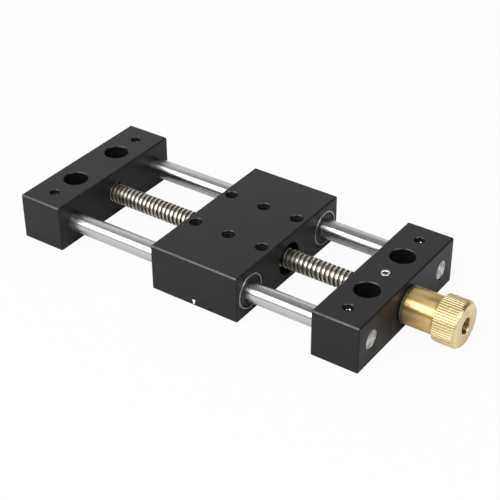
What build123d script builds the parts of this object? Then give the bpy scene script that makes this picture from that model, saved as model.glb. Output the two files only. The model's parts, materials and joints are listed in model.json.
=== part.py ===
from build123d import *
from math import cos, pi, sin
import os

os.makedirs("parts", exist_ok=True)

# Sliding table, in millimetres.
# +X runs from the rear end block to the knob, +Y across the table and +Z up.
# The origin is midway between the four base bolt holes, on the plane that the table stands on.

# Blocks: the end blocks and the carriage are cut from one size of bar
block_length = 20.0
block_height = 20.0
block_side_wall = 1.5
block_edge = 0.5
mouth_edge = 0.3
clear_gap = 118.0

# Guide rods, and the height of their axes above the base
rod_diameter = 8.0
rod_spacing = 52.0
rod_end_recess = 0.6
rod_edge = 0.5
rod_fit = 0.02
axis_height = block_height / 2

# Bolt holes through the end blocks, counterbored for socket head screws
bolt_hole_diameter = 5.5
bolt_head_diameter = 10.0
bolt_head_depth = 6.0
bolt_spacing = 26.0

# Headless set screws
set_screw_diameter = 4.0
set_screw_socket = 2.0
set_screw_edge = 0.4
clamp_screw_recess = 1.6
lock_screw_recess = 0.05
lock_screw_tip_gap = 0.7
thread_gap = 0.03
tip_gap = 0.02

# Lead screw: a threaded length between two turned journals
screw_diameter = 8.0
thread_pitch = 2.0
thread_depth = 0.6
thread_root_width = 0.84
thread_flank_width = 0.2
thread_end_collar = 1.5
journal_diameter = 6.0
screw_edge = 0.4
thread_past_inner_face = 3.0
rear_journal_inset = 0.5
journal_bore_clearance = 1.5
journal_flat_depth = 0.5
journal_flat_length = 8.0

# Ball bearings of the lead screw
bearing_section = 3.5
bearing_width = 5.0
bearing_ball_diameter = 2.0
bearing_ball_count = 7
bearing_land_gap = 1.4
bearing_groove_gap = 0.05
bearing_seat_gap = 0.01
shield_thickness = 0.3
shield_recess = 0.15
shield_bite = 0.25
shield_running_gap = 0.15
cage_section = 0.8
cage_open_side = 0.6
cage_back = 1.6
cage_pocket_gap = 0.12

# Linear ball bearings, two on each rod
slide_bearing_length = 17.0
slide_bearing_wall = 1.98
slide_bearing_rim = 0.85
slide_bearing_edge = 0.25
slide_ball_diameter = 1.5
slide_ball_gap = 0.01
slide_ball_rows = 4
slide_balls_in_row = 3
slide_ball_pitch = 2.6
retainer_groove_width = 1.1
retainer_groove_depth = 0.35
retainer_groove_span = 11.5
seal_thickness = 1.5
seal_recess = 0.2
seal_running_gap = 0.05
slide_cage_gap = 0.15
slide_cage_slot_gap = 0.1

# Carriage, with its centre where it stands at rest
carriage_length = 40.0
carriage_rest_x = 6.9
carriage_lift = 0.35
table_hole_diameter = 5.0
table_hole_inset = 4.5
table_hole_spacing = 24.0
mark_depth = 0.3
mark_height = 2.9
mark_stem_height = 1.5
mark_stem_width = 0.9
mark_top_width = 2.0

# Lead nut
nut_length = 28.0
nut_wall = 2.75
nut_edge = 0.5
nut_seat_gap = 0.01
nut_running_gap = 0.05
nut_dimple_depth = 0.5
nut_screw_recess = 0.4

# Thrust washer and knob
washer_diameter = 15.0
washer_thickness = 0.8
washer_land_height = 0.15
knob_neck_diameter = 15.0
knob_neck_length = 12.5
knob_neck_edge = 0.9
knob_head_diameter = 18.5
knob_head_length = 10.4
knob_shoulder_length = 1.1
knob_end_edge = 0.75
knob_end_edge_length = 1.3
knob_bore_fit = 0.02
knob_end_hole_depth = 10.0
knurl_teeth = 52
knurl_depth = 0.42
knob_screw_diameter = 3.0
knob_screw_socket = 1.5
knob_screw_recess = 1.0

# Radii
rod_radius = rod_diameter / 2
screw_radius = screw_diameter / 2
thread_root_radius = screw_radius - thread_depth
journal_radius = journal_diameter / 2
bearing_ball_radius = bearing_ball_diameter / 2
bearing_radius = journal_radius + bearing_section
bearing_pitch_radius = journal_radius + bearing_section / 2
bearing_inner_land = bearing_pitch_radius - bearing_land_gap / 2
bearing_outer_land = bearing_pitch_radius + bearing_land_gap / 2
shield_radius = bearing_outer_land + shield_bite
slide_ball_radius = slide_ball_diameter / 2
slide_ball_circle = rod_radius + slide_ball_gap + slide_ball_radius
slide_race_radius = slide_ball_circle + slide_ball_radius + slide_ball_gap
slide_bearing_radius = slide_race_radius + slide_bearing_wall
seal_seat_radius = slide_bearing_radius - slide_bearing_rim
nut_radius = screw_radius + nut_wall
washer_radius = washer_diameter / 2
neck_radius = knob_neck_diameter / 2
head_radius = knob_head_diameter / 2

# Places along and across the table
block_width = rod_spacing + 2 * (slide_bearing_radius + block_side_wall)
rod_y = rod_spacing / 2
bolt_y = bolt_spacing / 2
table_hole_y = table_hole_spacing / 2
table_hole_pitch = carriage_length / 2 - table_hole_inset
inner_face = clear_gap / 2
outer_face = inner_face + block_length
block_station = inner_face + block_length / 2
rear_bearing_x = -outer_face + bearing_width / 2
inner_bearing_x = inner_face + bearing_width / 2
outer_bearing_x = outer_face - bearing_width / 2
carriage_rear = carriage_rest_x - carriage_length / 2
carriage_front = carriage_rest_x + carriage_length / 2
washer_start = outer_face + washer_land_height
neck_start = washer_start + washer_thickness
neck_end = neck_start + knob_neck_length
head_end = neck_end + knob_head_length
journal_end = head_end - knob_end_hole_depth
knob_screw_x = neck_start + knob_neck_length / 2


def turned(*corners):
    """A solid turned about the X axis, from the (x, radius) corners of its half section."""
    return revolve(make_face(Polyline(*corners, close=True)), Axis.X)


def ring(start, end, inner, outer):
    """A plain ring about the X axis."""
    return turned((start, inner), (start, outer), (end, outer), (end, inner))


def shaft(start, end, radius):
    """A plain round bar about the X axis."""
    return turned((start, 0), (start, radius), (end, radius), (end, 0))


def on_axis(shape, x=0.0, y=0.0):
    """A shape made about the X axis, raised to the height of the rods and the lead screw."""
    return Pos(x, y, axis_height) * shape


def hole_down(diameter, top, floor):
    """The space of a round hole from a top face down to a floor, its mouth chamfered."""
    bore = Pos(0, 0, (top + floor) / 2) * Cylinder(diameter / 2, top - floor)
    mouth = Cone(diameter / 2, diameter / 2 + mouth_edge, mouth_edge)
    return bore + Pos(0, 0, top - mouth_edge / 2) * mouth


def bar_block(length, low):
    """A length of the bar with its edges broken, standing at a height."""
    stock = Box(length, block_width, block_height)
    return Pos(0, 0, low + block_height / 2) * chamfer(stock.edges(), block_edge)


def set_screw(diameter, length, socket):
    """A headless screw that stands on its tip at the origin, with a hexagon socket on top."""
    body = Cylinder(diameter / 2 - thread_gap, length)
    body = chamfer(body.edges().filter_by(GeomType.CIRCLE), set_screw_edge)
    hexagon = extrude(RegularPolygon(socket / 2, 6, major_radius=False), socket)
    return Pos(0, 0, length / 2) * body - Pos(0, 0, length - socket) * hexagon


def end_block(station, bearing_places):
    """An end block with its rod bores, clamp screw holes, bolt holes, bearing pockets and screw bore."""
    block = Pos(station, 0, 0) * bar_block(block_length, 0)
    for y in (-rod_y, rod_y):
        bore = shaft(-block_length, block_length, rod_radius + rod_fit)
        block -= on_axis(bore, station, y)
        block -= Pos(station, y, 0) * hole_down(set_screw_diameter, block_height, axis_height)
    for y in (-bolt_y, bolt_y):
        head_floor = block_height - bolt_head_depth
        block -= Pos(station, y, 0) * hole_down(bolt_head_diameter, block_height, head_floor)
        block -= Pos(station, y, head_floor / 2) * Cylinder(bolt_hole_diameter / 2, block_height)
    for x in bearing_places:
        pocket = shaft(-bearing_width / 2, bearing_width / 2, bearing_radius + bearing_seat_gap)
        block -= on_axis(pocket, x)
    half = block_length / 2
    bore = shaft(station - half, station + half, journal_radius + journal_bore_clearance)
    return block - on_axis(bore)


def rear_end_block():
    """The rear block: its bearing is in the outer face, and the thread's end enters the inner one."""
    return end_block(-block_station, (rear_bearing_x,))


def front_end_block():
    """The front block: a bearing in each face, and a tapped hole over the journal between them."""
    block = end_block(block_station, (inner_bearing_x, outer_bearing_x))
    return block - Pos(block_station, 0, 0) * hole_down(
        set_screw_diameter, block_height, axis_height
    )


def guide_rod(y):
    """A ground rod, its ends just inside the blocks' outer faces."""
    end = outer_face - rod_end_recess
    rod = turned(
        (-end, 0),
        (-end, rod_radius - rod_edge),
        (-end + rod_edge, rod_radius),
        (end - rod_edge, rod_radius),
        (end, rod_radius - rod_edge),
        (end, 0),
    )
    return on_axis(rod, 0, y)


def rod_clamp_screws():
    """Four set screws, each standing on a rod's end inside an end block."""
    tip = axis_height + rod_radius + tip_gap
    length = block_height - clamp_screw_recess - tip
    screw = set_screw(set_screw_diameter, length, set_screw_socket)
    places = [(x, y) for x in (-block_station, block_station) for y in (-rod_y, rod_y)]
    return Compound(children=[Pos(x, y, tip) * screw for x, y in places])


def spindle_lock_screw():
    """The set screw over the front journal, backed off so that the spindle turns."""
    tip = axis_height + journal_radius + lock_screw_tip_gap
    length = block_height - lock_screw_recess - tip
    return Pos(block_station, 0, tip) * set_screw(set_screw_diameter, length, set_screw_socket)


def thread_grooves(start, end):
    """Corners of the grooves between the thread's ridges, drawn level: one groove for each turn."""
    corners = []
    bottom = thread_root_width / 2
    mouth = bottom + thread_flank_width
    for turn in range(int((end - start) / thread_pitch)):
        middle = start + thread_pitch * (turn + 0.5)
        corners.append((middle - mouth, screw_radius))
        corners.append((middle - bottom, thread_root_radius))
        corners.append((middle + bottom, thread_root_radius))
        corners.append((middle + mouth, screw_radius))
    return corners


def lead_screw():
    """The screw, shouldered against the inner front bearing, with a flat for the knob's screw."""
    rear_tip = -outer_face + rear_journal_inset
    rear_shoulder = -inner_face - thread_past_inner_face
    spindle = turned(
        (rear_tip, 0),
        (rear_tip, journal_radius - screw_edge),
        (rear_tip + screw_edge, journal_radius),
        (rear_shoulder, journal_radius),
        (rear_shoulder, screw_radius - screw_edge),
        (rear_shoulder + screw_edge, screw_radius),
        *thread_grooves(rear_shoulder + screw_edge, inner_face - thread_end_collar),
        (inner_face - screw_edge, screw_radius),
        (inner_face, screw_radius - screw_edge),
        (inner_face, journal_radius),
        (journal_end - screw_edge, journal_radius),
        (journal_end, journal_radius - screw_edge),
        (journal_end, 0),
    )
    flat = Box(journal_flat_length, journal_radius, journal_diameter)
    flat_y = journal_radius - journal_flat_depth + journal_radius / 2
    return on_axis(spindle - Pos(knob_screw_x, flat_y, 0) * flat)


def ball_circle(radius):
    """Balls of a radius, spaced round the X axis on a screw bearing's pitch circle."""
    ball = Pos(0, 0, bearing_pitch_radius) * Sphere(radius)
    step = 360 / bearing_ball_count
    return [Rot(X=step * i) * ball for i in range(bearing_ball_count)]


def ball_groove():
    """The space that a screw bearing's balls sweep, with the clearance of its races."""
    return Rot(Y=90) * Torus(bearing_pitch_radius, bearing_ball_radius + bearing_groove_gap)


def bearing_outer_ring():
    """The outer ring, with a race inside and a step at each face for a shield."""
    half = bearing_width / 2
    step = half - shield_recess - shield_thickness
    seat = shield_radius + bearing_seat_gap
    blank = turned(
        (-half, seat),
        (-half, bearing_radius),
        (half, bearing_radius),
        (half, seat),
        (step, seat),
        (step, bearing_outer_land),
        (-step, bearing_outer_land),
        (-step, seat),
    )
    return blank - ball_groove()


def bearing_inner_ring():
    """The inner ring, on the journal, with the other race."""
    half = bearing_width / 2
    bore = journal_radius + bearing_seat_gap
    return ring(-half, half, bore, bearing_inner_land) - ball_groove()


def bearing_shields():
    """Two thin washers that close a screw bearing, fixed in its outer ring."""
    outside = bearing_width / 2 - shield_recess
    inside = outside - shield_thickness
    hole = bearing_inner_land + shield_running_gap
    front = ring(inside, outside, hole, shield_radius)
    rear = ring(-outside, -inside, hole, shield_radius)
    return Compound(children=[front, rear])


def bearing_cage():
    """A crown cage, whose pockets are open on one side for the balls to snap in."""
    inner = bearing_pitch_radius - cage_section / 2
    crown = ring(-cage_open_side, cage_back, inner, inner + cage_section)
    for pocket in ball_circle(bearing_ball_radius + cage_pocket_gap):
        crown -= pocket
    return crown


def bearing_balls():
    """The balls of one screw bearing."""
    return Compound(children=ball_circle(bearing_ball_radius))


def slide_bearing_sleeve():
    """The hardened sleeve of a linear bearing, with its two outer grooves and a seal seat at each end."""
    half = slide_bearing_length / 2
    edge = slide_bearing_edge
    radius = slide_bearing_radius
    floor = radius - retainer_groove_depth
    groove_end = retainer_groove_span / 2
    groove_start = groove_end - retainer_groove_width
    seat = half - seal_recess - seal_thickness
    return turned(
        (-half, seal_seat_radius),
        (-half, radius - edge),
        (-half + edge, radius),
        (-groove_end, radius),
        (-groove_end, floor),
        (-groove_start, floor),
        (-groove_start, radius),
        (groove_start, radius),
        (groove_start, floor),
        (groove_end, floor),
        (groove_end, radius),
        (half - edge, radius),
        (half, radius - edge),
        (half, seal_seat_radius),
        (seat, seal_seat_radius),
        (seat, slide_race_radius),
        (-seat, slide_race_radius),
        (-seat, seal_seat_radius),
    )


def slide_bearing_seals():
    """The two rubber wipers at a linear bearing's ends."""
    outside = slide_bearing_length / 2 - seal_recess
    inside = outside - seal_thickness
    hole = rod_radius + seal_running_gap
    rim = seal_seat_radius - bearing_seat_gap
    return Compound(children=[ring(inside, outside, hole, rim), ring(-outside, -inside, hole, rim)])


def in_ball_rows(pieces):
    """Copies of pieces that lie over the X axis, turned to each row of a linear bearing's balls."""
    turn = 360 / slide_ball_rows
    return [Rot(X=turn * (i + 0.5)) * piece for i in range(slide_ball_rows) for piece in pieces]


def slide_bearing_cage():
    """The moulded cage between a linear bearing's seals, with a slot for each row of balls."""
    half = slide_bearing_length / 2 - seal_recess - seal_thickness
    cage = ring(-half, half, rod_radius + slide_cage_gap, slide_race_radius - slide_cage_gap)
    row_length = (slide_balls_in_row - 1) * slide_ball_pitch + slide_ball_diameter
    slot = Box(
        row_length + 2 * slide_cage_slot_gap,
        slide_ball_diameter + 2 * slide_cage_slot_gap,
        2 * slide_ball_diameter,
    )
    for space in in_ball_rows([Pos(0, 0, slide_ball_circle) * slot]):
        cage -= space
    return cage


def slide_bearing_balls():
    """The balls that carry the load of one linear bearing, in straight rows along the rod."""
    first = -slide_ball_pitch * (slide_balls_in_row - 1) / 2
    row = [
        Pos(first + slide_ball_pitch * i, 0, slide_ball_circle) * Sphere(slide_ball_radius)
        for i in range(slide_balls_in_row)
    ]
    return Compound(children=in_ball_rows(row))


def index_mark():
    """The space of the index mark, a stem that widens upwards, in the carriage's near face."""
    stem = mark_stem_width / 2
    top = mark_top_width / 2
    outline = Polyline(
        (-stem, 0),
        (stem, 0),
        (stem, mark_stem_height),
        (top, mark_height),
        (-top, mark_height),
        (-stem, mark_stem_height),
        close=True,
    )
    face = Plane.XZ * make_face(outline)
    near_face = -block_width / 2
    return Pos(carriage_rest_x, near_face, carriage_lift) * extrude(face, mark_depth, both=True)


def carriage_block():
    """The carriage, bored for the linear bearings and the nut and tapped for what it carries."""
    top = carriage_lift + block_height
    block = Pos(carriage_rest_x, 0, 0) * bar_block(carriage_length, carriage_lift)
    for y in (-rod_y, rod_y):
        seat = shaft(carriage_rear, carriage_front, slide_bearing_radius + bearing_seat_gap)
        block -= on_axis(seat, 0, y)
    block -= on_axis(shaft(carriage_rear, carriage_front, nut_radius + nut_seat_gap))
    for column in (-1, 0, 1):
        for y in (-table_hole_y, table_hole_y):
            hole = hole_down(table_hole_diameter, top, carriage_lift)
            block -= Pos(carriage_rest_x + column * table_hole_pitch, y, 0) * hole
    block -= Pos(carriage_rest_x, 0, axis_height / 2) * Cylinder(set_screw_diameter / 2, axis_height)
    return block - index_mark()


def lead_nut():
    """The round nut, with a dimple below for the set screw that keeps it from turning."""
    half = nut_length / 2
    hole = screw_radius + nut_running_gap
    nut = turned(
        (-half, hole),
        (-half, nut_radius - nut_edge),
        (-half + nut_edge, nut_radius),
        (half - nut_edge, nut_radius),
        (half, nut_radius - nut_edge),
        (half, hole),
    )
    dimple = Cylinder(set_screw_diameter / 2, 2 * nut_dimple_depth)
    return on_axis(nut - Pos(0, 0, -nut_radius) * dimple, carriage_rest_x)


def nut_set_screw():
    """The set screw in the carriage's underside, its tip in the nut's dimple."""
    tip = axis_height - nut_radius + nut_dimple_depth - tip_gap
    length = tip - carriage_lift - nut_screw_recess
    screw = set_screw(set_screw_diameter, length, set_screw_socket)
    return Pos(carriage_rest_x, 0, tip) * Rot(X=180) * screw


def thrust_washer():
    """The washer behind the knob, with a raised land that bears on the inner ring alone."""
    hole = journal_radius + knob_bore_fit
    washer = turned(
        (outer_face, hole),
        (outer_face, bearing_inner_land),
        (washer_start, bearing_inner_land),
        (washer_start, washer_radius),
        (neck_start, washer_radius),
        (neck_start, hole),
    )
    return on_axis(washer)


def knurled_bar():
    """A bar about the X axis with straight knurling: a tooth every few degrees."""
    corners = []
    for i in range(2 * knurl_teeth):
        radius = head_radius - knurl_depth * (i % 2)
        angle = pi * i / knurl_teeth
        corners.append((radius * cos(angle), radius * sin(angle)))
    outline = Plane.YZ * make_face(Polyline(*corners, close=True))
    return Pos(neck_end, 0, 0) * extrude(outline, knob_head_length)


def knob():
    """The knob: a plain neck with a tapped hole for its screw, and a knurled head."""
    head = knurled_bar() & turned(
        (neck_end, 0),
        (neck_end, neck_radius),
        (neck_end + knob_shoulder_length, head_radius),
        (head_end - knob_end_edge_length, head_radius),
        (head_end, head_radius - knob_end_edge),
        (head_end, 0),
    )
    neck = turned(
        (neck_start, 0),
        (neck_start, neck_radius - knob_neck_edge),
        (neck_start + knob_neck_edge, neck_radius),
        (neck_end, neck_radius),
        (neck_end, 0),
    )
    bore = shaft(neck_start, head_end, journal_radius + knob_bore_fit)
    screw_hole = Rot(X=-90) * Cylinder(knob_screw_diameter / 2, knob_neck_diameter)
    screw_hole = Pos(knob_screw_x, neck_radius, 0) * screw_hole
    return on_axis(neck + head - bore - screw_hole)


def knob_set_screw():
    """The screw in the knob's neck, its tip on the journal's flat."""
    tip = journal_radius - journal_flat_depth + tip_gap
    length = neck_radius - knob_screw_recess - tip
    screw = set_screw(knob_screw_diameter, length, knob_screw_socket)
    return on_axis(Pos(0, tip, 0) * Rot(X=-90) * screw, knob_screw_x)


parts = {
    "rear_end_block": rear_end_block(),
    "front_end_block": front_end_block(),
    "near_guide_rod": guide_rod(-rod_y),
    "far_guide_rod": guide_rod(rod_y),
    "rod_clamp_screws": rod_clamp_screws(),
    "spindle_lock_screw": spindle_lock_screw(),
    "lead_screw": lead_screw(),
    "thrust_washer": thrust_washer(),
    "knob": knob(),
    "knob_set_screw": knob_set_screw(),
    "carriage_block": carriage_block(),
    "lead_nut": lead_nut(),
    "nut_set_screw": nut_set_screw(),
}

screw_bearings = {
    "rear_bearing": rear_bearing_x,
    "front_inner_bearing": inner_bearing_x,
    "front_outer_bearing": outer_bearing_x,
}
for name, x in screw_bearings.items():
    parts[name + "_outer_ring"] = on_axis(bearing_outer_ring(), x)
    parts[name + "_inner_ring"] = on_axis(bearing_inner_ring(), x)
    parts[name + "_shields"] = on_axis(bearing_shields(), x)
    parts[name + "_cage"] = on_axis(bearing_cage(), x)
    parts[name + "_balls"] = on_axis(bearing_balls(), x)

slide_bearing_inset = slide_bearing_length / 2
slide_bearings = {
    "near_rear_slide": (carriage_rear + slide_bearing_inset, -rod_y),
    "near_front_slide": (carriage_front - slide_bearing_inset, -rod_y),
    "far_rear_slide": (carriage_rear + slide_bearing_inset, rod_y),
    "far_front_slide": (carriage_front - slide_bearing_inset, rod_y),
}
for name, (x, y) in slide_bearings.items():
    parts[name + "_sleeve"] = on_axis(slide_bearing_sleeve(), x, y)
    parts[name + "_seals"] = on_axis(slide_bearing_seals(), x, y)
    parts[name + "_cage"] = on_axis(slide_bearing_cage(), x, y)
    parts[name + "_balls"] = on_axis(slide_bearing_balls(), x, y)

for name, shape in parts.items():
    export_step(shape, f"parts/{name}.step")
print(len(parts), "parts written")
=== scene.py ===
import json
import math

import bmesh
import bpy
from mathutils import Matrix, Vector


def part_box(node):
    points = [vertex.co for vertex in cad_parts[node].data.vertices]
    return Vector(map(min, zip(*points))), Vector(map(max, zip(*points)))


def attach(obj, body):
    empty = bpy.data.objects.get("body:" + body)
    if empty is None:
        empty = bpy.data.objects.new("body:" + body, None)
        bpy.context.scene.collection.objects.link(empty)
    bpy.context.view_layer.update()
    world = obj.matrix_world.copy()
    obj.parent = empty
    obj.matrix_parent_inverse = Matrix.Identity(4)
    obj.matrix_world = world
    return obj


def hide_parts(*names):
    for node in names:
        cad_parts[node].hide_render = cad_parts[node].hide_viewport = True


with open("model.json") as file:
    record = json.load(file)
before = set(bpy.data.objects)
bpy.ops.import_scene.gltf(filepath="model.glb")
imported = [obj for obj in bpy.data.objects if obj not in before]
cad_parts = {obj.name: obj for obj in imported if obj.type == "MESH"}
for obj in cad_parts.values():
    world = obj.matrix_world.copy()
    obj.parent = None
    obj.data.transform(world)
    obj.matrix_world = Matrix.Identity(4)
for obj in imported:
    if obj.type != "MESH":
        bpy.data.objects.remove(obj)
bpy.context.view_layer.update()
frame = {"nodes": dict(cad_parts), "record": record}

# Lengths are in millimetres in the row frame, apart from the stage's, and meshes are stored in metres
MM = 0.001


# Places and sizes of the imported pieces


def span(node_name, axis):
    """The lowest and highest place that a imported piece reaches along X, Y or Z, to 0.01 mm."""
    i = "XYZ".index(axis)
    return [round(corner[i] / MM, 2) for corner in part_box(node_name)]


def middle(node_name, axis):
    """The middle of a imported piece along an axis."""
    return sum(span(node_name, axis)) / 2


inner_face, outer_face = span("front_end_block", "X")
block_station = middle("front_end_block", "X")
block_top = span("front_end_block", "Z")[1]
axis_height = middle("front_end_block", "Z")
rod_y = middle("far_guide_rod", "Y")
rod_radius = span("far_guide_rod", "Y")[1] - rod_y
rod_lines = {"near": -rod_y, "far": rod_y}
carriage_x = middle("carriage_block", "X")
carriage_low, carriage_top = span("carriage_block", "Z")
carriage_near_face = span("carriage_block", "Y")[0]
screw_rear_end, screw_front_end = span("lead_screw", "X")
screw_radius = span("lead_screw", "Y")[1]
neck_start, head_end = span("knob", "X")
head_radius = span("knob", "Y")[1]

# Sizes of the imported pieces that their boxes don't give
journal_radius = 3.0
thread_start = -62.0
thread_pitch = 2.0
thread_root = 3.38
neck_end = neck_start + 12.5
neck_radius = 7.5
knob_bore = 3.02
knurl_teeth = 52
small_hole_radius = 2.0
table_hole_radius = 2.5
table_hole_y = 12.0
table_hole_step = 15.5

# The rods' ends lie this deep inside the end blocks' outer faces
rod_recess = 0.25
rod_end = outer_face - rod_recess


# Building blocks of the materials


def new_material(name):
    """A new material, with its node tree and its shader."""
    material = bpy.data.materials.new(name)
    material.use_nodes = True
    tree = material.node_tree
    shader = tree.nodes["Principled BSDF"]
    return material, tree, shader


def node(tree, kind, **values):
    """Adds a node. A value goes to the input of that name, or else to the node's own setting."""
    made = tree.nodes.new(kind)
    for key, value in values.items():
        if key in made.inputs:
            made.inputs[key].default_value = value
        else:
            setattr(made, key, value)
    return made


def plug(tree, socket, value):
    """Links a socket to another node's output, or sets it to a number, a vector or a colour."""
    if isinstance(value, bpy.types.NodeSocket):
        tree.links.new(value, socket)
    elif isinstance(value, tuple):
        socket.default_value = (*value, 1.0)
    else:
        socket.default_value = value


def finish_surface(tree, shader, values):
    """Sets or links the shader's inputs by name."""
    for name, value in values.items():
        plug(tree, shader.inputs[name], value)


EVEN = (1, 1, 1)


def noise(tree, scale, size, detail=3.0):
    """Noise with features of about `size` millimetres, longer along the axes with a low scale."""
    coordinates = node(tree, "ShaderNodeTexCoord")
    mapping = node(tree, "ShaderNodeMapping", Scale=scale)
    made = node(tree, "ShaderNodeTexNoise", Scale=1.0 / (size * MM), Detail=detail, Roughness=0.55)
    plug(tree, mapping.inputs["Vector"], coordinates.outputs["Object"])
    plug(tree, made.inputs["Vector"], mapping.outputs["Vector"])
    return made.outputs["Fac"]


def spread(tree, value, low, high, start=0.3, end=0.7):
    """Goes from `low` to `high` as a value goes from `start` to `end`, and stays level beyond."""
    made = node(tree, "ShaderNodeMapRange")
    made.inputs["From Min"].default_value = start
    made.inputs["From Max"].default_value = end
    made.inputs["To Min"].default_value = low
    made.inputs["To Max"].default_value = high
    plug(tree, made.inputs["Value"], value)
    return made.outputs["Result"]


def ramp(tree, value, *stops):
    """A colour that changes with a value. A stop is (the value there, the colour there)."""
    made = node(tree, "ShaderNodeValToRGB")
    elements = made.color_ramp.elements
    while len(elements) < len(stops):
        elements.new(0.5)
    for element, (position, colour) in zip(elements, stops):
        element.position = position
        element.color = (*colour, 1.0)
    plug(tree, made.inputs["Fac"], value)
    return made.outputs["Color"]


def blend_colour(tree, share, first, second):
    """Goes from the first colour to the second as `share` goes from 0 to 1."""
    made = node(tree, "ShaderNodeMix", data_type="RGBA")
    colours = [socket for socket in made.inputs if socket.enabled and socket.type == "RGBA"]
    for socket, value in zip(colours, (first, second)):
        plug(tree, socket, value)
    plug(tree, made.inputs["Factor"], share)
    return next(socket for socket in made.outputs if socket.enabled)


def scale_colour(tree, colour, share):
    """The colour times a number."""
    made = node(tree, "ShaderNodeVectorMath", operation="SCALE")
    plug(tree, made.inputs[0], colour)
    plug(tree, made.inputs["Scale"], share)
    return made.outputs["Vector"]


def combine(tree, first, second, operation="ADD"):
    """Joins two values into one, by adding them or by another operation."""
    made = node(tree, "ShaderNodeMath", operation=operation)
    for socket, value in zip(made.inputs, (first, second)):
        plug(tree, socket, value)
    return made.outputs["Value"]


def split_axes(tree, vector):
    """The X, Y and Z of a vector."""
    split = node(tree, "ShaderNodeSeparateXYZ")
    plug(tree, split.inputs["Vector"], vector)
    return split.outputs


def place_axes(tree):
    """The X, Y and Z of a point in metres, in the row frame."""
    return split_axes(tree, node(tree, "ShaderNodeTexCoord").outputs["Object"])


def axis_distance(tree):
    """How far a point is from the lead screw's axis, in metres."""
    place = place_axes(tree)
    across = combine(tree, place["Y"], 2, "POWER")
    height = combine(tree, place["Z"], axis_height * MM, "SUBTRACT")
    up = combine(tree, height, 2, "POWER")
    return combine(tree, combine(tree, across, up), 0.5, "POWER")


def sloping(tree):
    """1 on faces that slope, such as chamfers, and 0 on level and upright ones."""
    normal = split_axes(tree, node(tree, "ShaderNodeNewGeometry").outputs["True Normal"])
    across, along, level = (combine(tree, normal[axis], 0, "ABSOLUTE") for axis in "XYZ")
    longest = combine(tree, combine(tree, across, along, "MAXIMUM"), level, "MAXIMUM")
    between_axes = spread(tree, longest, 1.0, 0.0, 0.75, 0.9)
    not_upright = spread(tree, level, 0.0, 1.0, 0.2, 0.5)
    return combine(tree, between_axes, not_upright, "MULTIPLY")


def uneven(tree, cloud, low, high, marks, amount=0.02):
    """Roughness that drifts between two values over a cloud, and a little more in the marks."""
    return combine(tree, spread(tree, cloud, low, high), spread(tree, marks, -amount, amount))


def bump(tree, shader, height, strength, depth, before=None):
    """Raises the surface by `height` times `depth` millimetres, on top of the bump before it."""
    made = node(tree, "ShaderNodeBump", Strength=strength, Distance=depth * MM)
    plug(tree, made.inputs["Height"], height)
    if before is not None:
        plug(tree, made.inputs["Normal"], before)
    plug(tree, shader.inputs["Normal"], made.outputs["Normal"])
    return made.outputs["Normal"]


def turned_finish(tree, shader, amount):
    """Fine marks round the X axis: reflections blur along the axis and stay sharp round it."""
    around = node(tree, "ShaderNodeTangent", direction_type="RADIAL", axis="X")
    plug(tree, shader.inputs["Tangent"], around.outputs["Tangent"])
    plug(tree, shader.inputs["Anisotropic"], amount)
    plug(tree, shader.inputs["Anisotropic Rotation"], 0.25)


# Materials


def black_anodised():
    """Black aluminium, milled along X, with its chamfers worn to the metal."""
    material, tree, shader = new_material("black_anodised")
    scuffs = spread(tree, noise(tree, EVEN, 1.6, 4.0), 0.55, 1.0)
    worn = combine(tree, sloping(tree), scuffs, "MULTIPLY")
    grain = noise(tree, EVEN, 0.16, 2.0)
    cloud = noise(tree, EVEN, 9.0, 4.0)
    milled = noise(tree, (0.05, 1, 1), 0.35, 2.0)
    tone = ramp(tree, cloud, (0.3, (0.0056, 0.0056, 0.0059)), (0.7, (0.0076, 0.0076, 0.0079)))
    rough = uneven(tree, cloud, 0.36, 0.44, grain, 0.03)
    smoothed = combine(tree, worn, 0.13, "MULTIPLY")
    finish_surface(tree, shader, {
        "Base Color": blend_colour(tree, worn, tone, (0.066, 0.066, 0.068)),
        "Metallic": worn,
        "IOR": 1.37,
        "Roughness": combine(tree, rough, smoothed, "SUBTRACT"),
    })
    fine = bump(tree, shader, milled, 0.25, 0.01)
    bump(tree, shader, grain, 0.35, 0.02, fine)
    return material


def ground_rod():
    """Ground steel, with blotched ends that are painted paler as a painted highlight for the bright
    light they mirror.
    """
    material, tree, shader = new_material("ground_rod")
    turned_finish(tree, shader, 0.9)
    marks = noise(tree, (1, 0.12, 0.12), 0.3)
    cloud = noise(tree, EVEN, 4.0, 4.0)
    blotches = noise(tree, EVEN, 2.2, 0.0)
    along = combine(tree, place_axes(tree)["X"], 0, "ABSOLUTE")
    at_end = spread(tree, along, 0.0, 1.0, (rod_end - 0.2) * MM, (rod_end - 0.05) * MM)
    blotched = combine(tree, at_end, spread(tree, blotches, 0.0, 1.0, 0.42, 0.60), "MULTIPLY")
    tone = ramp(tree, cloud, (0.25, (0.56, 0.56, 0.56)), (0.65, (0.62, 0.62, 0.62)))
    # Painted highlight: the end faces are painted paler, so that they look as bright as the light they
    # mirror
    tone = blend_colour(tree, at_end, tone, (0.78, 0.78, 0.77))
    rough = uneven(tree, cloud, 0.20, 0.26, marks)
    finish_surface(tree, shader, {
        "Base Color": blend_colour(tree, blotched, tone, (0.46, 0.46, 0.45)),
        "Metallic": 1.0,
        "Roughness": combine(tree, rough, combine(tree, at_end, 0.15, "MULTIPLY")),
    })
    bump(tree, shader, marks, 0.3, 0.002)
    return material


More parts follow.
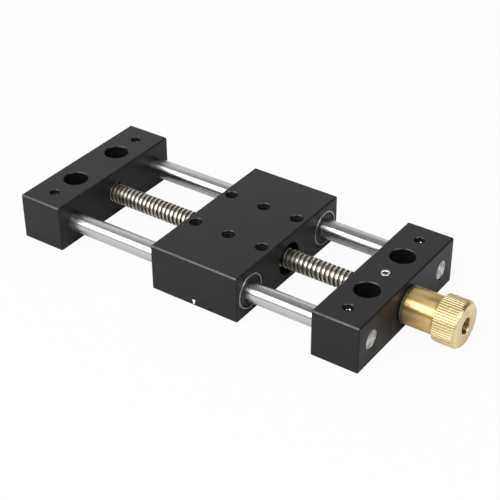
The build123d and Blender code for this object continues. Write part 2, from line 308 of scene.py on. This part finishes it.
def screw_steel():
    """Rolled steel: bright on the crests, with painted shade between the threads, darkest on the
    flanks.
    """
    material, tree, shader = new_material("screw_steel")
    root, crest = (thread_root - 0.02) * MM, (screw_radius - 0.05) * MM
    height = spread(tree, axis_distance(tree), 0.0, 1.0, root, crest)
    patches = noise(tree, EVEN, 0.8, 4.0)
    crest_share = combine(tree, height, spread(tree, patches, -0.12, 0.12))
    # Painted shade: the roots and flanks between the threads are painted dark, darkest on the flanks,
    # in random patches
    tone = ramp(
        tree,
        crest_share,
        (0.0, (0.24, 0.21, 0.18)),
        (0.3, (0.16, 0.14, 0.115)),
        (0.6, (0.14, 0.12, 0.10)),
        (0.85, (0.74, 0.69, 0.60)),
    )
    marks = noise(tree, (1, 0.15, 0.15), 0.4)
    finish_surface(tree, shader, {
        "Base Color": scale_colour(tree, tone, spread(tree, marks, 0.55, 1.15, 0.35, 0.65)),
        "Metallic": 1.0,
        "Roughness": spread(tree, crest_share, 0.44, 0.33, 0.0, 1.0),
    })
    bump(tree, shader, marks, 0.3, 0.01)
    return material


def knob_brass():
    """Turned brass: golden on the neck, painted paler on the knurled head as a painted sheen, and
    painted dark down in the hole as painted shade.
    """
    material, tree, shader = new_material("knob_brass")
    turned_finish(tree, shader, 1.0)
    marks = noise(tree, (1, 0.12, 0.12), 0.25)
    cloud = noise(tree, EVEN, 4.0, 4.0)
    neck = ramp(tree, cloud, (0.25, (0.90, 0.62, 0.24)), (0.65, (0.94, 0.68, 0.30)))
    # Painted sheen: the knurled head is painted paler than the neck, standing in for its strong
    # highlights
    head = ramp(tree, cloud, (0.25, (0.82, 0.68, 0.36)), (0.65, (0.86, 0.73, 0.41)))
    along = place_axes(tree)["X"]
    on_head = spread(tree, along, 0.0, 1.0, (neck_end - 0.15) * MM, (neck_end + 0.35) * MM)
    end_face = spread(tree, along, 0.0, 1.0, (head_end - 0.55) * MM, (head_end - 0.05) * MM)
    # Painted shade: the wall of the hole is painted dark brass
    hole_wall, hole_mouth = (knob_bore + 0.08) * MM, (knob_bore + 0.48) * MM
    inside = spread(tree, axis_distance(tree), 1.0, 0.0, hole_wall, hole_mouth)
    tone = blend_colour(tree, on_head, neck, head)
    tone = blend_colour(tree, end_face, tone, (0.97, 0.78, 0.46))
    rough = uneven(tree, cloud, 0.33, 0.38, marks)
    smoothed = combine(tree, end_face, 0.12, "MULTIPLY")
    finish_surface(tree, shader, {
        "Base Color": blend_colour(tree, inside, tone, (0.30, 0.20, 0.09)),
        "Metallic": 1.0,
        "Roughness": combine(tree, rough, smoothed, "SUBTRACT"),
    })
    bump(tree, shader, marks, 0.15, 0.002)
    return material


def black_oxide():
    """Blackened steel, worn bright where a mesh marks its edges as rubbed."""
    material, tree, shader = new_material("black_oxide")
    rubbed = node(tree, "ShaderNodeAttribute", attribute_name="wear").outputs["Fac"]
    cloud = noise(tree, EVEN, 1.4, 4.0)
    fine = noise(tree, EVEN, 0.12)
    tone = ramp(tree, cloud, (0.3, (0.018, 0.018, 0.018)), (0.7, (0.035, 0.034, 0.033)))
    smoothed = combine(tree, rubbed, 0.1, "MULTIPLY")
    finish_surface(tree, shader, {
        "Base Color": blend_colour(tree, rubbed, tone, (0.66, 0.65, 0.62)),
        "Metallic": 0.9,
        "Roughness": combine(tree, spread(tree, cloud, 0.34, 0.42), smoothed, "SUBTRACT"),
    })
    bump(tree, shader, fine, 0.4, 0.01)
    return material


def metal(name, pale, dark, smoothest, roughest, depth):
    """Bare metal in two tones, with machining marks of some depth drawn out round the X axis."""
    material, tree, shader = new_material(name)
    marks = noise(tree, (1, 0.2, 0.2), 0.2)
    cloud = noise(tree, EVEN, 4.0, 4.0)
    finish_surface(tree, shader, {
        "Base Color": ramp(tree, cloud, (0.25, dark), (0.65, pale)),
        "Metallic": 1.0,
        "Roughness": uneven(tree, cloud, smoothest, roughest, marks),
    })
    bump(tree, shader, marks, 0.3, depth)
    return material


def dull_surface(name, pale, dark, smoothest, roughest, grain, depth, ior=1.5):
    """A surface without a metal's sheen, in two tones, with an even grain."""
    material, tree, shader = new_material(name)
    fine = noise(tree, EVEN, grain)
    cloud = noise(tree, EVEN, grain * 12, 4.0)
    finish_surface(tree, shader, {
        "Base Color": ramp(tree, cloud, (0.3, dark), (0.7, pale)),
        "IOR": ior,
        "Roughness": spread(tree, cloud, smoothest, roughest),
    })
    bump(tree, shader, fine, 0.4, depth)
    return material


# Bare metals: pale tone, dark tone, least and most roughness, depth of the marks
METALS = {
    "bright_steel": ((0.62, 0.61, 0.59), (0.48, 0.47, 0.46), 0.2, 0.3, 0.006),
    "bearing_steel": ((0.40, 0.40, 0.39), (0.30, 0.30, 0.30), 0.22, 0.32, 0.004),
    "washer_steel": ((0.26, 0.26, 0.26), (0.18, 0.18, 0.18), 0.26, 0.34, 0.004),
    "nut_brass": ((0.74, 0.52, 0.22), (0.60, 0.40, 0.16), 0.25, 0.35, 0.006),
}

# Other surfaces: pale tone, dark tone, least and most roughness, size of the grain and its depth,
# and the index of refraction where it isn't the usual one
DULL_SURFACES = {
    "seal_rubber": ((0.016, 0.015, 0.014), (0.009, 0.009, 0.008), 0.42, 0.55, 0.1, 0.012),
    "cage_polymer": ((0.62, 0.60, 0.53), (0.52, 0.50, 0.43), 0.4, 0.5, 0.2, 0.01),
    "mark_paint": ((0.86, 0.86, 0.84), (0.76, 0.76, 0.74), 0.45, 0.6, 0.1, 0.01),
    "tapped_black": ((0.007, 0.007, 0.007), (0.004, 0.004, 0.004), 0.55, 0.7, 0.12, 0.01, 1.3),
}

MATERIALS = {
    "black_anodised": black_anodised(),
    "ground_rod": ground_rod(),
    "screw_steel": screw_steel(),
    "knob_brass": knob_brass(),
    "black_oxide": black_oxide(),
}
MATERIALS.update({name: metal(name, *values) for name, values in METALS.items()})
MATERIALS.update({name: dull_surface(name, *values) for name, values in DULL_SURFACES.items()})

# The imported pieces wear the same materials
for part in frame["record"]["subparts"]:
    mesh = frame["nodes"][part["node"]].data
    mesh.materials.clear()
    mesh.materials.append(MATERIALS[part["material_slot"]])


# Mesh building


class Piece:
    """A mesh under construction."""

    def __init__(self):
        self.points = []
        self.faces = []
        self.wear = {}

    def skin(self, rings, count, place, closed=False):
        """Joins rings of points. A ring is (distance along the axis, radius or radii by angle).

        A third value on a ring is how far its edge is rubbed bright, also by angle if it is a list.
        """
        rows = []
        for along, radius, *worn in rings:
            if worn:
                first_point = len(self.points)
                rubbed = worn[0] if isinstance(worn[0], list) else [worn[0]] * count
                self.wear.update({first_point + i: share for i, share in enumerate(rubbed)})
            if radius == 0:
                rows.append([len(self.points)])
                self.points.append(place(along, 0.0, 0.0))
                continue
            rows.append(list(range(len(self.points), len(self.points) + count)))
            for i in range(count):
                angle = math.tau * i / count
                r = radius[i] if isinstance(radius, list) else radius
                self.points.append(place(along, r * math.cos(angle), r * math.sin(angle)))
        pairs = list(zip(rows, rows[1:]))
        if closed:
            pairs.append((rows[-1], rows[0]))
        for first, second in pairs:
            for i in range(count):
                j = (i + 1) % count
                corners = [first[i % len(first)], first[j % len(first)]]
                corners += [second[j % len(second)], second[i % len(second)]]
                unique = list(dict.fromkeys(corners))
                if len(unique) > 2:
                    self.faces.append(unique)

    def ridge(self, section, start, end, pitch, place, fade, count=48, zero=None):
        """A thread's ridge: a section of (offset, radius) swept along a right-hand helix.

        The section shrinks onto the root over `fade` of a turn at each end. The ridge is at
        angle 0 at `zero`, or else at its start.
        """
        root = section[0][1]
        first_turn = 0.0 if zero is None else (start - zero) / pitch
        turns = (end - start) / pitch
        steps = max(int(turns * count), 2)
        rows = []
        for k in range(steps + 1):
            turn = turns * k / steps
            grown = min(min(turn, turns - turn) / fade, 1.0)
            angle = math.tau * (first_turn + turn)
            row = []
            for offset, radius in section:
                r = root + (radius - root) * grown
                along = start + pitch * turn + offset
                row.append(len(self.points))
                self.points.append(place(along, r * math.cos(angle), r * math.sin(angle)))
            rows.append(row)
        width = len(section)
        for first, second in zip(rows, rows[1:]):
            for i in range(width):
                j = (i + 1) % width
                self.faces.append([first[i], first[j], second[j], second[i]])
        self.faces.append(rows[0][::-1])
        self.faces.append(rows[-1])

    def finish(self, name, body, slot, hides=(), sharp=35.0, look=None):
        """Makes the object, which rides on a body, with a slot's material or another look of it."""
        mesh = bpy.data.meshes.new(name)
        mesh.from_pydata([tuple(c * MM for c in p) for p in self.points], [], self.faces)
        if self.wear:
            wear = mesh.attributes.new("wear", "FLOAT", "POINT")
            for i, value in self.wear.items():
                wear.data[i].value = value
        work = bmesh.new()
        work.from_mesh(mesh)
        bmesh.ops.remove_doubles(work, verts=work.verts, dist=1e-7)
        bmesh.ops.recalc_face_normals(work, faces=work.faces)
        work.to_mesh(mesh)
        work.free()
        for polygon in mesh.polygons:
            polygon.use_smooth = True
        mesh.set_sharp_from_angle(angle=math.radians(sharp))
        piece = bpy.data.objects.new(name, mesh)
        bpy.context.scene.collection.objects.link(piece)
        piece.data.materials.append(MATERIALS[look or slot])
        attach(piece, body)
        if hides:
            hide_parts(*hides)
        return piece


def along_x(y=0.0):
    """Places a shape that was turned about X onto the line of a rod or the screw."""
    return lambda a, u, v: (a, y + u, axis_height + v)


def along_z(x, y):
    """Places a shape that was turned about Z onto the line of an upright hole."""
    return lambda a, u, v: (x + u, y + v, a)


# Guide rods

for side, y in rod_lines.items():
    rod = Piece()
    front_half = [
        (0.0, rod_end),
        (0.5, rod_end),
        (rod_radius - 0.3, rod_end),
        (rod_radius - 0.16, rod_end - 0.02),
        (rod_radius - 0.03, rod_end - 0.14),
        (rod_radius, rod_end - 0.24),
    ]
    rings = [(-x, radius) for radius, x in front_half]
    rings += [(x, radius) for radius, x in reversed(front_half)]
    rod.skin(rings, 128, along_x(y))
    rod.finish(f"{side}_rod", "frame", "ground_rod", hides=[f"{side}_guide_rod"])


# Lead screw

journal_edge = 0.4
collar_radius = screw_radius - 0.05
crest_half_width = 0.37
thread_margin = 0.75

# Crests lie where the photo shows them when the ridge is at angle 0 this far from the thread's start
thread_phase = 1.52

screw = Piece()
screw.skin(
    [
        (screw_rear_end, 0.0),
        (screw_rear_end, journal_radius - journal_edge),
        (screw_rear_end + journal_edge, journal_radius),
        (thread_start, journal_radius),
        (thread_start, thread_root),
        (inner_face - 0.7, thread_root),
        (inner_face - 0.5, collar_radius),
        (inner_face, collar_radius),
        (inner_face, journal_radius),
        (screw_front_end - journal_edge, journal_radius),
        (screw_front_end, journal_radius - journal_edge),
        (screw_front_end, 0.0),
    ],
    96,
    along_x(),
)
screw.ridge(
    [
        (-crest_half_width - 0.23, thread_root - 0.05),
        (-crest_half_width - 0.07, screw_radius - 0.1),
        (-crest_half_width, screw_radius - 0.02),
        (crest_half_width, screw_radius - 0.02),
        (crest_half_width + 0.07, screw_radius - 0.1),
        (crest_half_width + 0.23, thread_root - 0.05),
    ],
    thread_start + thread_margin,
    inner_face - thread_margin,
    thread_pitch,
    along_x(),
    count=64,
    fade=0.25,
    zero=thread_start + thread_phase,
)
screw.finish("lead_screw_threaded", "spindle", "screw_steel", hides=["lead_screw"], sharp=28.0)


# Knob

points_in_tooth = 8
points_in_knurl = knurl_teeth * points_in_tooth
valley_depth = 0.3
corner_depth = 0.06


def tooth_radius(i):
    """The knurl's outline: flat-topped teeth with rounded corners and narrow valleys."""
    depths = {0: valley_depth, 1: corner_depth, points_in_tooth - 1: corner_depth}
    return head_radius - depths.get(i % points_in_tooth, 0.0)


def knurled(limit):
    """The knurl's radii by angle, cut down to a limit."""
    return [min(limit, tooth_radius(i)) for i in range(points_in_knurl)]


knob = Piece()
knob.skin(
    [
        (neck_start, knob_bore),
        (neck_start, neck_radius - 0.8),
        (neck_start + 0.3, neck_radius - 0.4),
        (neck_start + 0.9, neck_radius),
        (neck_end - 0.15, neck_radius),
        (neck_end - 0.02, neck_radius - 0.08),
        (neck_end, neck_radius),
        (neck_end + 0.35, knurled(head_radius - 1.2)),
        (neck_end + 0.75, knurled(head_radius - 0.55)),
        (neck_end + 1.1, knurled(head_radius)),
        (neck_end + 4.0, knurled(head_radius)),
        (head_end - 1.6, knurled(head_radius)),
        (head_end - 1.25, knurled(head_radius - 0.09)),
        (head_end - 0.85, knurled(head_radius - 0.3)),
        (head_end - 0.45, knurled(head_radius - 0.53)),
        (head_end - 0.15, head_radius - 0.83),
        (head_end, head_radius - 1.15),
        (head_end, 5.5),
        (head_end, knob_bore + 0.43),
        (head_end - 0.4, knob_bore + 0.03),
        (head_end - 0.5, knob_bore),
    ],
    points_in_knurl,
    along_x(),
    closed=True,
)

# The thread inside the hole in the knob's end
end_thread_pitch = 1.0
end_thread_crest = 2.62
knob.ridge(
    [
        (-0.42, knob_bore + 0.04),
        (-0.08, end_thread_crest),
        (0.08, end_thread_crest),
        (0.42, knob_bore + 0.04),
    ],
    screw_front_end + 0.55,
    head_end - 0.9,
    end_thread_pitch,
    along_x(),
    fade=0.5,
)
knob.finish("knob_knurled", "spindle", "knob_brass", hides=["knob"], sharp=40.0)


# Thrust washer, with a narrow boss that touches the front block's bearing

boss_length = 0.15
boss_radius = 4.0
washer_bore = 3.03
washer_face = outer_face + boss_length
washer = Piece()
washer.skin(
    [
        (outer_face, washer_bore),
        (outer_face, boss_radius),
        (washer_face, boss_radius + 0.05),
        (washer_face, neck_radius - 0.15),
        (washer_face + 0.13, neck_radius),
        (neck_start - 0.13, neck_radius),
        (neck_start, neck_radius - 0.15),
        (neck_start, washer_bore),
    ],
    128,
    along_x(),
    closed=True,
)
washer.finish("washer_turned", "spindle", "bright_steel", hides=["thrust_washer"], look="washer_steel")


# Sharp threads


def sharp_thread(pitch, root, crest):
    """The section of a sharp thread's ridge, out from a wall or core at the root radius."""
    half_width = 0.42 * pitch
    return [(-half_width, root), (0.0, crest), (half_width, root)]


# Set screws

set_screw_radius = 1.97
set_screw_pitch = 0.35 * set_screw_radius

# The key's hexagon, across its flats
key_size = 2.0
set_screw_points = 72


def hexagon(turned):
    """Radii by angle of the key's hexagon, turned by some degrees."""
    radii = []
    for i in range(set_screw_points):
        angle = math.tau * i / set_screw_points - math.radians(turned)
        from_flat = angle % (math.tau / 6) - math.tau / 12
        radii.append(key_size / 2 / math.cos(from_flat))
    return radii


def key_marks(marks):
    """How far a socket's mouth is rubbed, by angle. A mark is (its middle in degrees, how far)."""
    reach = 20.0
    soft_edge = 10.0
    shares = []
    for i in range(set_screw_points):
        share = 0.0
        for centre, worn in marks:
            off = abs((360.0 * i / set_screw_points - centre + 180.0) % 360.0 - 180.0)
            share = max(share, worn * min(1.0, max(0.0, (reach - off) / soft_edge)))
        shares.append(share)
    return shares


def set_screw(piece, tip, top, place, core_share=0.86, lip=0.12, turned=0.0, marks=()):
    """A headless screw with a hexagon socket, its thread as a ridge round a slimmer core."""
    rubbed = key_marks(marks)
    up = 1 if top > tip else -1
    core = set_screw_radius * core_share
    mouth = hexagon(turned)
    piece.skin(
        [
            (tip, 0.0),
            (tip, set_screw_radius * 0.55),
            (tip + 0.4 * up, core),
            (top - 0.22 * up, core),
            (top - 0.10 * up, core * 0.985),
            (top, core * 0.93),
            (top, [min(r + lip + 0.02, core * 0.92) for r in mouth], 0.0),
            (top, [min(r + lip, core * 0.91) for r in mouth], rubbed),
            (top - lip * up, mouth, rubbed),
            (top - (lip + 0.03) * up, mouth, 0.0),
            (top - key_size * up, mouth),
            (top - key_size * 1.25 * up, 0.0),
        ],
        set_screw_points,
        place,
    )
    low, high = sorted((tip + 0.55 * up, top - 0.35 * up))
    piece.ridge(
        sharp_thread(set_screw_pitch, core - 0.05, set_screw_radius),
        low,
        high,
        set_screw_pitch,
        place,
        count=32,
        fade=0.5,
    )


# Where the camera's left and right of a socket are, in degrees from +X towards +Y
left_of_socket = 155.0
right_of_socket = 95.0

# How far a key has rubbed each clamp screw's socket there, by the screw's end and side of the table
clamp_wear = {(1, -1): (0.5, 0.8), (1, 1): (0.1, 0.6), (-1, -1): (0.0, 0.1), (-1, 1): (0.0, 0.16)}
clamps = Piece()
clamp_tip, clamp_top = span("rod_clamp_screws", "Z")
for (end, side), (left, right) in clamp_wear.items():
    spot = along_z(end * block_station, side * rod_y)
    marks = ((left_of_socket, left), (right_of_socket, right))
    set_screw(clamps, clamp_tip, clamp_top, spot, lip=0.2, turned=5.0, marks=marks)
clamps.finish("clamp_screws_threaded", "frame", "black_oxide", hides=["rod_clamp_screws"])

lock = Piece()
lock_tip, lock_top = span("spindle_lock_screw", "Z")
set_screw(lock, lock_tip, lock_top, along_z(block_station, 0.0), core_share=0.95)
lock.finish("lock_screw_threaded", "frame", "bright_steel", hides=["spindle_lock_screw"])

nut_screw = Piece()
nut_screw_top, nut_screw_tip = span("nut_set_screw", "Z")
set_screw(nut_screw, nut_screw_tip, nut_screw_top, along_z(carriage_x, 0.0))
nut_screw.finish("nut_screw_threaded", "carriage", "black_oxide", hides=["nut_set_screw"])


# Threads of the tapped holes

# A hole's radius and its thread's pitch
small_hole = (small_hole_radius, 0.7)
table_hole = (table_hole_radius, 0.8)

# Where the threads start and end, a little inside the holes' ends
table_thread_low = carriage_low + 0.75
table_thread_high = carriage_top - 0.75
nut_thread_low = carriage_low + 0.5
nut_thread_high = 3.0
clamp_thread_low = 14.3
lock_thread_low = 14.0
block_thread_high = block_top - 0.7


def tapped(piece, x, y, hole, low, high):
    """The ridge of an internal thread, which stands in from the wall of its hole."""
    radius, pitch = hole
    piece.ridge(
        sharp_thread(pitch, radius + 0.02, radius - 0.54 * pitch),
        low,
        high,
        pitch,
        along_z(x, y),
        count=40,
        fade=0.4,
    )


table_threads = Piece()
for column in (-1, 0, 1):
    for y in (-table_hole_y, table_hole_y):
        x = carriage_x + table_hole_step * column
        tapped(table_threads, x, y, table_hole, table_thread_low, table_thread_high)
tapped(table_threads, carriage_x, 0.0, small_hole, nut_thread_low, nut_thread_high)
table_threads.finish("table_hole_threads", "carriage", "black_anodised", look="tapped_black")

block_threads = Piece()
for x in (-block_station, block_station):
    for y in (-rod_y, rod_y):
        tapped(block_threads, x, y, small_hole, clamp_thread_low, block_thread_high)
tapped(block_threads, block_station, 0.0, small_hole, lock_thread_low, block_thread_high)
block_threads.finish("screw_hole_threads", "frame", "black_anodised", look="tapped_black")


# Linear bearings' seals

# A seal's section: how far in from its outer face, and the radius there
seal_section = [
    (1.5, 4.25),
    (1.5, 6.63),
    (0.6, 6.63),
    (0.6, 6.2),
    (0.08, 6.1),
    (0.0, 6.0),
    (0.0, 5.2),
    (0.25, 5.05),
    (0.25, 4.75),
    (0.12, 4.6),
    (0.05, 4.12),
    (0.25, 4.05),
    (0.6, 4.25),
]
for side, y in rod_lines.items():
    for end in ("rear", "front"):
        bearing = f"{side}_{end}_slide"
        seals = Piece()
        for way, face in zip((-1, 1), span(f"{bearing}_seals", "X")):
            rings = [(face - depth * way, radius) for depth, radius in seal_section]
            seals.skin(rings, 96, along_x(y), closed=True)
        seals.finish(f"{bearing}_lip_seals", "carriage", "seal_rubber", hides=[f"{bearing}_seals"])


# Index mark: a stem with a wider head, sunk in the carriage's near face

mark_outline = [(-0.36, 0.9), (0.36, 0.9), (0.36, 1.5), (0.8, 2.8), (-0.8, 2.8), (-0.36, 1.5)]
mark_recess = 0.03
mark_depth = 0.29
mark = Piece()
for depth in (mark_recess, mark_depth):
    for x, z in mark_outline:
        mark.points.append((carriage_x + x, carriage_near_face + depth, carriage_low + z))
corners = len(mark_outline)
for stem_or_head in ((0, 1, 2, 5), (5, 2, 3, 4)):
    mark.faces.append(list(stem_or_head))
    mark.faces.append([corners + i for i in reversed(stem_or_head)])
for i in range(corners):
    j = (i + 1) % corners
    mark.faces.append([i, j, corners + j, corners + i])
mark.finish("index_mark_fill", "carriage", "mark_paint", sharp=10.0)


# Floor

half_floor = 3.0
floor_level = -0.0001


def floor_material():
    """A floor that the camera sees as white, with the object's shadow."""
    material, tree, shader = new_material("stage_floor")
    finish_surface(tree, shader, {"Base Color": (0.8, 0.8, 0.8), "Roughness": 0.8})
    light = node(tree, "ShaderNodeEmission", Color=(1, 1, 1, 1), Strength=1.0)
    camera_ray = node(tree, "ShaderNodeLightPath").outputs["Is Camera Ray"]
    mix = node(tree, "ShaderNodeMixShader")
    plug(tree, mix.inputs["Fac"], combine(tree, camera_ray, 0.95, "MULTIPLY"))
    plug(tree, mix.inputs[1], shader.outputs["BSDF"])
    plug(tree, mix.inputs[2], light.outputs["Emission"])
    plug(tree, tree.nodes["Material Output"].inputs["Surface"], mix.outputs["Shader"])
    return material


floor_mesh = bpy.data.meshes.new("floor")
floor_corners = [
    (x * half_floor, y * half_floor, floor_level) for x, y in ((-1, -1), (1, -1), (1, 1), (-1, 1))
]
floor_mesh.from_pydata(floor_corners, [], [(0, 1, 2, 3)])
floor = bpy.data.objects.new("floor", floor_mesh)
bpy.context.scene.collection.objects.link(floor)
floor_mesh.materials.append(floor_material())


# World


def direction(azimuth, elevation):
    """A unit vector. Azimuth 0 is +Y and 90 is +X."""
    a, e = math.radians(azimuth), math.radians(elevation)
    return Vector((math.sin(a) * math.cos(e), math.cos(a) * math.cos(e), math.sin(e)))


def nearness(tree, place, azimuth, elevation):
    """How close a direction is to the stated one: 1 is the same and 0 is square to it."""
    made = node(tree, "ShaderNodeVectorMath", operation="DOT_PRODUCT")
    plug(tree, made.inputs[0], place)
    plug(tree, made.inputs[1], direction(azimuth, elevation))
    return made.outputs["Value"]


def studio_world():
    """A pale studio: grey overhead, dark at one side, paler at another, white to the camera."""
    world = bpy.data.worlds.new("studio")
    bpy.context.scene.world = world
    world.use_nodes = True
    tree = world.node_tree
    tree.nodes.clear()
    place = node(tree, "ShaderNodeTexCoord").outputs["Generated"]
    tone = ramp(
        tree,
        spread(tree, split_axes(tree, place)["Z"], 0.0, 1.0, 0.0, 1.0),
        (0.0, (0.55, 0.55, 0.55)),
        (0.15, (0.50, 0.50, 0.50)),
        (0.45, (0.52, 0.52, 0.52)),
        (0.6, (0.62, 0.62, 0.62)),
        (0.8, (0.29, 0.29, 0.29)),
        (1.0, (0.23, 0.23, 0.23)),
    )
    dark_side = spread(tree, nearness(tree, place, 45, 25), 1.0, 0.22, 0.55, 0.85)
    pale_side = spread(tree, nearness(tree, place, -35, 34), 1.0, 1.7, 0.6, 0.9)
    tone = scale_colour(tree, tone, combine(tree, dark_side, pale_side, "MULTIPLY"))
    camera_ray = node(tree, "ShaderNodeLightPath").outputs["Is Camera Ray"]
    background = node(tree, "ShaderNodeBackground", Strength=1.0)
    output = node(tree, "ShaderNodeOutputWorld")
    plug(tree, background.inputs["Color"], blend_colour(tree, camera_ray, tone, (1, 1, 1)))
    plug(tree, output.inputs["Surface"], background.outputs["Background"])


studio_world()


# Lamps

lamp_distance = 1.2


def softbox(name, azimuth, elevation, width, height, radiance):
    """A rectangular soft light that faces the object."""
    lamp = bpy.data.lights.new(name, "AREA")
    lamp.shape = "RECTANGLE"
    lamp.size = width
    lamp.size_y = height
    lamp.energy = radiance * math.pi * width * height
    made = bpy.data.objects.new(name, lamp)
    way = direction(azimuth, elevation)
    made.location = way * lamp_distance
    made.rotation_euler = way.to_track_quat("Z", "Y").to_euler()
    bpy.context.scene.collection.objects.link(made)


softbox("left_softbox", -143, 34.5, width=0.8, height=0.88, radiance=3.8)
softbox("front_softbox", 179, 42, width=0.6, height=0.7, radiance=3.6)
softbox("right_softbox", 95, 43, width=0.8, height=0.7, radiance=3.0)


# Camera, solved from the straight edges in the photo

focal_length_pixels = 1339.703
picture_width_pixels = 500
sensor_width = 36.0
camera_place = Vector((0.258571, -0.357881, 0.301775))
right = Vector((0.821563117, 0.570097779, -0.004750551))
down = Vector((0.315848439, -0.462071908, -0.828691327))
ahead = Vector((-0.47463018, 0.679321775, -0.559685731))

camera = bpy.data.cameras.new("photo_view")
camera.sensor_width = sensor_width
camera.lens = focal_length_pixels / picture_width_pixels * sensor_width
camera.clip_start = 0.01
camera.clip_end = 20.0
view = bpy.data.objects.new("photo_view", camera)
turn = Matrix((right, -down, -ahead)).transposed().to_4x4()
view.matrix_world = Matrix.Translation(camera_place) @ turn
bpy.context.scene.collection.objects.link(view)
bpy.context.scene.camera = view
bpy.context.scene.view_settings.view_transform = "Standard"
